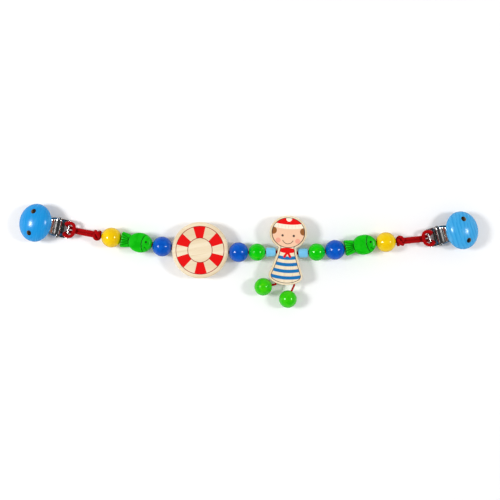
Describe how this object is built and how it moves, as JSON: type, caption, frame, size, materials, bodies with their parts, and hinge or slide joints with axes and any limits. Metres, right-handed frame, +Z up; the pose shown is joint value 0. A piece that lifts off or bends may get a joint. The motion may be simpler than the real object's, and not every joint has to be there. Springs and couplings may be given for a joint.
{
  "type": "pram chain",
  "caption": "Pram chain of painted wooden beads, fish, a lifebuoy disc and a striped doll on a red cord, with a wooden-capped metal clip at each end",
  "frame": {"origin": "on the table under the middle of the whole chain", "axes": "+X along the chain to the right, +Y towards the doll's head, +Z up from the table"},
  "size_m": [0.4618, 0.1048, 0.023],
  "materials": {
    "yellow_paint": "gloss paint",
    "blue_paint": "gloss paint",
    "green_paint": "gloss paint",
    "light_blue_paint": "satin paint",
    "blue_stain": "lacquered stain",
    "natural_wood": "satin lacquer, printed",
    "red_cord": "braided",
    "clip_steel": "nickel plated",
    "jaw_plastic": "moulded"
  },
  "bodies": {
    "figure": {"figure_board": "natural_wood", "leg_root_left": "red_cord", "leg_root_right": "red_cord"},
    "figure_cord": {"cord_figure_board": "red_cord"},
    "sleeve_left_cord": {"cord_sleeve_left": "red_cord"},
    "sleeve_left": {"sleeve_left": "light_blue_paint"},
    "green_bead_left_cord": {"cord_green_bead_left": "red_cord"},
    "green_bead_left": {"green_bead_left": "green_paint"},
    "blue_bead_middle_cord": {"cord_blue_bead_middle": "red_cord"},
    "blue_bead_middle": {"blue_bead_middle": "blue_paint"},
    "lifebuoy_disc_cord": {"cord_lifebuoy_disc": "red_cord"},
    "lifebuoy_disc": {"lifebuoy_disc": "natural_wood"},
    "blue_bead_left_cord": {"cord_blue_bead_left": "red_cord"},
    "blue_bead_left": {"blue_bead_left": "blue_paint"},
    "fish_left_cord": {"cord_fish_left": "red_cord"},
    "fish_left": {"fish_left": "green_paint"},
    "yellow_bead_left_cord": {"cord_yellow_bead_left": "red_cord"},
    "yellow_bead_left": {"yellow_bead_left": "yellow_paint"},
    "tether_left": {"knot_left": "red_cord", "tether_left": "red_cord"},
    "clip_base_left": {"clip_back_plate_left": "clip_steel", "clip_hinge_pin_left": "clip_steel", "clip_jaw_pad_left": "jaw_plastic"},
    "clip_lever_left": {"clip_dome_left": "blue_stain", "clip_flap_left": "clip_steel", "clip_rivet_inner_left": "clip_steel", "clip_rivet_outer_left": "clip_steel"},
    "sleeve_right_cord": {"cord_sleeve_right": "red_cord"},
    "sleeve_right": {"sleeve_right": "light_blue_paint"},
    "green_bead_right_cord": {"cord_green_bead_right": "red_cord"},
    "green_bead_right": {"green_bead_right": "green_paint"},
    "blue_bead_right_cord": {"cord_blue_bead_right": "red_cord"},
    "blue_bead_right": {"blue_bead_right": "blue_paint"},
    "fish_right_cord": {"cord_fish_right": "red_cord"},
    "fish_right": {"fish_right": "green_paint"},
    "yellow_bead_right_cord": {"cord_yellow_bead_right": "red_cord"},
    "yellow_bead_right": {"yellow_bead_right": "yellow_paint"},
    "tether_right": {"knot_right": "red_cord", "tether_right": "red_cord"},
    "clip_base_right": {"clip_back_plate_right": "clip_steel", "clip_hinge_pin_right": "clip_steel", "clip_jaw_pad_right": "jaw_plastic"},
    "clip_lever_right": {"clip_dome_right": "blue_stain", "clip_flap_right": "clip_steel", "clip_rivet_inner_right": "clip_steel", "clip_rivet_outer_right": "clip_steel"},
    "leg_left": {"leg_cord_left": "red_cord", "leg_bead_left": "green_paint"},
    "leg_right": {"leg_cord_right": "red_cord", "leg_bead_right": "green_paint"}
  },
  "joints": [
    {"name": "figure_spin", "type": "hinge", "parent": "figure", "child": "figure_cord", "pos_m": [0.03838, 0.00325, 0.01], "axis": [0.9981, -0.061, 0], "continuous": true},
    {"name": "sleeve_left_bend", "type": "hinge", "parent": "figure_cord", "child": "sleeve_left_cord", "pos_m": [0.02795, 0.00389, 0.01], "axis": [0, 0, -1], "range_deg": [-6, 14]},
    {"name": "sleeve_left_spin", "type": "hinge", "parent": "sleeve_left_cord", "child": "sleeve_left", "pos_m": [0.0222, 0.00379, 0.01], "axis": [0.9998, 0.0175, 0], "continuous": true},
    {"name": "green_bead_left_bend", "type": "hinge", "parent": "sleeve_left_cord", "child": "green_bead_left_cord", "pos_m": [0.01695, 0.0037, 0.01], "axis": [0, 0, -1], "range_deg": [-12, 12]},
    {"name": "green_bead_left_spin", "type": "hinge", "parent": "green_bead_left_cord", "child": "green_bead_left", "pos_m": [0.00835, 0.0037, 0.01], "axis": [1, 0, 0], "continuous": true},
    {"name": "blue_bead_middle_bend", "type": "hinge", "parent": "green_bead_left_cord", "child": "blue_bead_middle_cord", "pos_m": [-0.00024, 0.0037, 0.01], "axis": [0, 0, -1], "range_deg": [-12, 12]},
    {"name": "blue_bead_middle_spin", "type": "hinge", "parent": "blue_bead_middle_cord", "child": "blue_bead_middle", "pos_m": [-0.01016, 0.0037, 0.01], "axis": [1, 0, 0], "continuous": true},
    {"name": "lifebuoy_disc_bend", "type": "hinge", "parent": "blue_bead_middle_cord", "child": "lifebuoy_disc_cord", "pos_m": [-0.02009, 0.0037, 0.01], "axis": [0, 0, -1], "range_deg": [-12, 12]},
    {"name": "lifebuoy_disc_spin", "type": "hinge", "parent": "lifebuoy_disc_cord", "child": "lifebuoy_disc", "pos_m": [-0.04872, 0.0057, 0.01], "axis": [0.9976, -0.0698, 0], "continuous": true},
    {"name": "blue_bead_left_bend", "type": "hinge", "parent": "lifebuoy_disc_cord", "child": "blue_bead_left_cord", "pos_m": [-0.07735, 0.0077, 0.01], "axis": [0, 0, -1], "range_deg": [-12, 12]},
    {"name": "blue_bead_left_spin", "type": "hinge", "parent": "blue_bead_left_cord", "child": "blue_bead_left", "pos_m": [-0.08712, 0.00943, 0.01], "axis": [0.9848, -0.1736, 0], "continuous": true},
    {"name": "fish_left_bend", "type": "hinge", "parent": "blue_bead_left_cord", "child": "fish_left_cord", "pos_m": [-0.09689, 0.01115, 0.01], "axis": [0, 0, -1], "range_deg": [-12, 12]},
    {"name": "fish_left_spin", "type": "hinge", "parent": "fish_left_cord", "child": "fish_left", "pos_m": [-0.1127, 0.01394, 0.01], "axis": [0.9848, -0.1736, 0], "continuous": true},
    {"name": "yellow_bead_left_bend", "type": "hinge", "parent": "fish_left_cord", "child": "yellow_bead_left_cord", "pos_m": [-0.12851, 0.01673, 0.01], "axis": [0, 0, -1], "range_deg": [-12, 12]},
    {"name": "yellow_bead_left_spin", "type": "hinge", "parent": "yellow_bead_left_cord", "child": "yellow_bead_left", "pos_m": [-0.13828, 0.01845, 0.01], "axis": [0.9848, -0.1736, 0], "continuous": true},
    {"name": "tether_left_swing", "type": "hinge", "parent": "yellow_bead_left_cord", "child": "tether_left", "pos_m": [-0.14805, 0.02017, 0.01], "axis": [0, 0, -1], "range_deg": [-12, 12]},
    {"name": "clip_left_pitch", "type": "hinge", "parent": "tether_left", "child": "clip_base_left", "pos_m": [-0.18257, 0.02657, 0.0053], "axis": [0.2079, 0.9781, 0], "range_deg": [-40, 45]},
    {"name": "clip_left_open", "type": "hinge", "parent": "clip_base_left", "child": "clip_lever_left", "pos_m": [-0.19235, 0.02865, 0.0055], "axis": [0.2079, 0.9781, 0], "range_deg": [0, 55]},
    {"name": "sleeve_right_bend", "type": "hinge", "parent": "figure_cord", "child": "sleeve_right_cord", "pos_m": [0.04881, 0.00262, 0.01], "axis": [0, 0, 1], "range_deg": [-16, 4]},
    {"name": "sleeve_right_spin", "type": "hinge", "parent": "sleeve_right_cord", "child": "sleeve_right", "pos_m": [0.05455, 0.00292, 0.01], "axis": [0.9986, 0.0523, 0], "continuous": true},
    {"name": "green_bead_right_bend", "type": "hinge", "parent": "sleeve_right_cord", "child": "green_bead_right_cord", "pos_m": [0.05979, 0.00319, 0.01], "axis": [0, 0, 1], "range_deg": [-12, 12]},
    {"name": "green_bead_right_spin", "type": "hinge", "parent": "green_bead_right_cord", "child": "green_bead_right", "pos_m": [0.06837, 0.00379, 0.01], "axis": [0.9976, 0.0698, 0], "continuous": true},
    {"name": "blue_bead_right_bend", "type": "hinge", "parent": "green_bead_right_cord", "child": "blue_bead_right_cord", "pos_m": [0.07694, 0.00439, 0.01], "axis": [0, 0, 1], "range_deg": [-16, 6]},
    {"name": "blue_bead_right_spin", "type": "hinge", "parent": "blue_bead_right_cord", "child": "blue_bead_right", "pos_m": [0.08673, 0.00603, 0.01], "axis": [0.9863, 0.165, 0], "continuous": true},
    {"name": "fish_right_bend", "type": "hinge", "parent": "blue_bead_right_cord", "child": "fish_right_cord", "pos_m": [0.09652, 0.00767, 0.01], "axis": [0, 0, 1], "range_deg": [-12, 12]},
    {"name": "fish_right_spin", "type": "hinge", "parent": "fish_right_cord", "child": "fish_right", "pos_m": [0.1123, 0.01059, 0.01], "axis": [0.9833, 0.1822, 0], "continuous": true},
    {"name": "yellow_bead_right_bend", "type": "hinge", "parent": "fish_right_cord", "child": "yellow_bead_right_cord", "pos_m": [0.12808, 0.01352, 0.01], "axis": [0, 0, 1], "range_deg": [-3, 20]},
    {"name": "yellow_bead_right_spin", "type": "hinge", "parent": "yellow_bead_right_cord", "child": "yellow_bead_right", "pos_m": [0.138, 0.01386, 0.01], "axis": [0.9994, 0.0349, 0], "continuous": true},
    {"name": "tether_right_swing", "type": "hinge", "parent": "yellow_bead_right_cord", "child": "tether_right", "pos_m": [0.14791, 0.01421, 0.01], "axis": [0, 0, 1], "range_deg": [-12, 12]},
    {"name": "clip_right_pitch", "type": "hinge", "parent": "tether_right", "child": "clip_base_right", "pos_m": [0.18282, 0.01788, 0.0053], "axis": [0.2419, -0.9703, 0], "range_deg": [-40, 45]},
    {"name": "clip_right_open", "type": "hinge", "parent": "clip_base_right", "child": "clip_lever_right", "pos_m": [0.19253, 0.0203, 0.0055], "axis": [0.2419, -0.9703, 0], "range_deg": [0, 55]},
    {"name": "leg_left_swing", "type": "hinge", "parent": "figure", "child": "leg_left", "pos_m": [0.02711, -0.02857, 0.01], "axis": [0, 0, 1], "range_deg": [-1, 40]},
    {"name": "leg_right_swing", "type": "hinge", "parent": "figure", "child": "leg_right", "pos_m": [0.04568, -0.02971, 0.01], "axis": [0, 0, 1], "range_deg": [-10, 105]}
  ]
}
